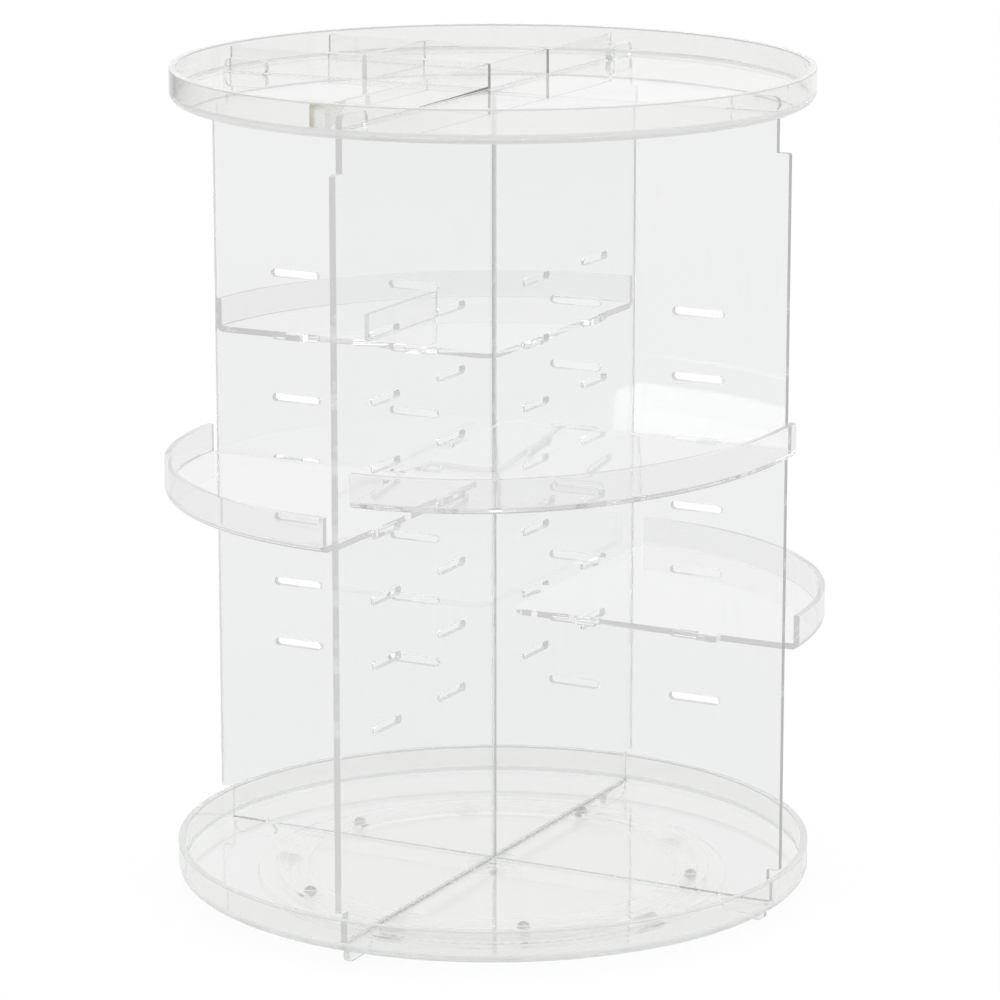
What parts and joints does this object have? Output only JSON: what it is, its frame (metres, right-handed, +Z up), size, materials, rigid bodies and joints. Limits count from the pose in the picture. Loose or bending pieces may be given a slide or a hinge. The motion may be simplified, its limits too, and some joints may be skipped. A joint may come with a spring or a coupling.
{
  "type": "makeup organizer",
  "caption": "Clear revolving cosmetics tower: crossed slotted panels between round trays, quarter round shelves hooked into the slots, divided top tray, ball turntable base.",
  "frame": {"origin": "on the turntable's axis, at the table under the feet", "axes": "+Z up along the turntable's axis; +X and +Y along two neighbouring arms of the crossed panels"},
  "size_m": [0.2428, 0.238, 0.3085],
  "materials": {
    "clear_panel": "cast clear acrylic sheet, polished faces, cut edges",
    "clear_round_tray": "moulded clear acrylic, glossy",
    "clear_shelf": "moulded clear acrylic, glossy",
    "clear_divider": "clear acrylic strip, cut edges, glued",
    "clear_plate": "moulded clear acrylic, glossy",
    "clear_cage": "clear moulded plastic, satin",
    "clear_washer": "clear nylon, satin",
    "steel_ball": "polished bearing steel",
    "steel_screw": "zinc plated steel",
    "soft_foot": "translucent soft silicone"
  },
  "bodies": {
    "turntable": {"turntable_plate": "clear_plate", "foot_1": "soft_foot", "foot_2": "soft_foot", "foot_3": "soft_foot", "foot_4": "soft_foot", "foot_5": "soft_foot"},
    "bearing": {"ball_cage": "clear_cage", "ball_1": "steel_ball", "ball_2": "steel_ball", "ball_3": "steel_ball", "ball_4": "steel_ball", "ball_5": "steel_ball"},
    "tower": {"base_tray": "clear_round_tray", "pivot_washer": "clear_washer", "pivot_screw": "steel_screw", "panel_side": "clear_panel", "panel_front": "clear_panel", "top_tray": "clear_round_tray", "divider_long": "clear_divider", "divider_side": "clear_divider", "divider_rear": "clear_divider", "divider_short": "clear_divider"},
    "back_shelf": {"shelf_back": "clear_shelf", "shelf_back_divider": "clear_divider"},
    "left_shelf": {"shelf_left": "clear_shelf"},
    "right_shelf": {"shelf_right": "clear_shelf"},
    "front_shelf": {"shelf_front": "clear_shelf"}
  },
  "joints": [
    {"name": "tower_spin", "type": "hinge", "parent": "turntable", "child": "tower", "pos_m": [0, 0, 0.0075], "axis": [0, 0, 1], "continuous": true},
    {"name": "bearing_spin", "type": "hinge", "parent": "turntable", "child": "bearing", "pos_m": [0, 0, 0.005], "axis": [0, 0, 1], "continuous": true},
    {"name": "back_shelf_pull", "type": "slide", "parent": "tower", "child": "back_shelf", "axis": [-0.7071, 0.7071, 0], "range_m": [0, 0.06]},
    {"name": "left_shelf_pull", "type": "slide", "parent": "tower", "child": "left_shelf", "axis": [-0.7071, -0.7071, 0], "range_m": [0, 0.06]},
    {"name": "right_shelf_pull", "type": "slide", "parent": "tower", "child": "right_shelf", "axis": [0, 1, 0], "range_m": [0, 0.06]},
    {"name": "front_shelf_pull", "type": "slide", "parent": "tower", "child": "front_shelf", "axis": [0, -1, 0], "range_m": [0, 0.06]}
  ],
  "couplings": [
    {"joint": "bearing_spin", "follows": "tower_spin", "ratio": 0.5}
  ]
}
